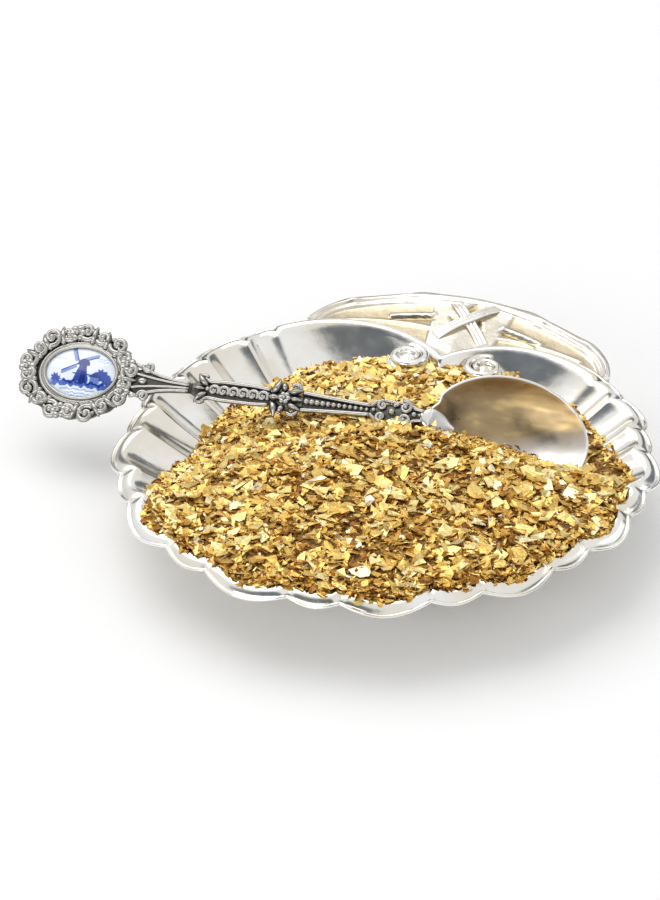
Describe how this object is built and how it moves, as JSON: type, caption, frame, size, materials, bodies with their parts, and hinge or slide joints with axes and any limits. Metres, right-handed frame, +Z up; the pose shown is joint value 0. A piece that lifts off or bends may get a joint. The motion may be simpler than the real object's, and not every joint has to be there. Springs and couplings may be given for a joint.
{
  "type": "shell dish of gold flakes with a spoon",
  "caption": "Fluted silver shell dish with a crescent handle, heaped with loose gold flakes, and a cast souvenir spoon with an oval porcelain medallion standing in the heap.",
  "frame": {"origin": "centre of the dish's flat base, on the surface it stands on", "axes": "+Z up; +Y toward the dish's handle; +X to the right seen from the front, so the spoon's finial is toward -X"},
  "size_m": [0.1652, 0.1375, 0.0313],
  "materials": {
    "silver_plate": "polished",
    "spoon_silver": "polished",
    "old_silver": "satin",
    "gold_flakes": "satin",
    "porcelain": "gloss"
  },
  "bodies": {
    "dish": {"shell_bowl": "silver_plate", "rim_wire": "silver_plate", "handle_plate": "silver_plate", "handle_border_left": "silver_plate", "handle_border_right": "silver_plate", "handle_ribbon_left": "silver_plate", "handle_ribbon_right": "silver_plate", "handle_reed_left": "silver_plate", "handle_reed_right": "silver_plate", "volute_left": "silver_plate", "volute_right": "silver_plate", "flake_heap": "gold_flakes"},
    "spoon": {"spoonful": "gold_flakes", "spoon_bowl": "spoon_silver", "heel_scroll": "old_silver", "stem_beaded": "old_silver", "stem_knop": "old_silver", "stem_scroll": "old_silver", "stem_shoulder": "old_silver", "finial_frame": "old_silver", "medallion_bezel": "old_silver", "medallion_back": "old_silver", "porcelain_medallion": "porcelain"}
  },
  "joints": [
    {"name": "spoon_lift", "type": "slide", "parent": "dish", "child": "spoon", "axis": [0, 0, 1], "range_m": [0, 0.1]}
  ]
}
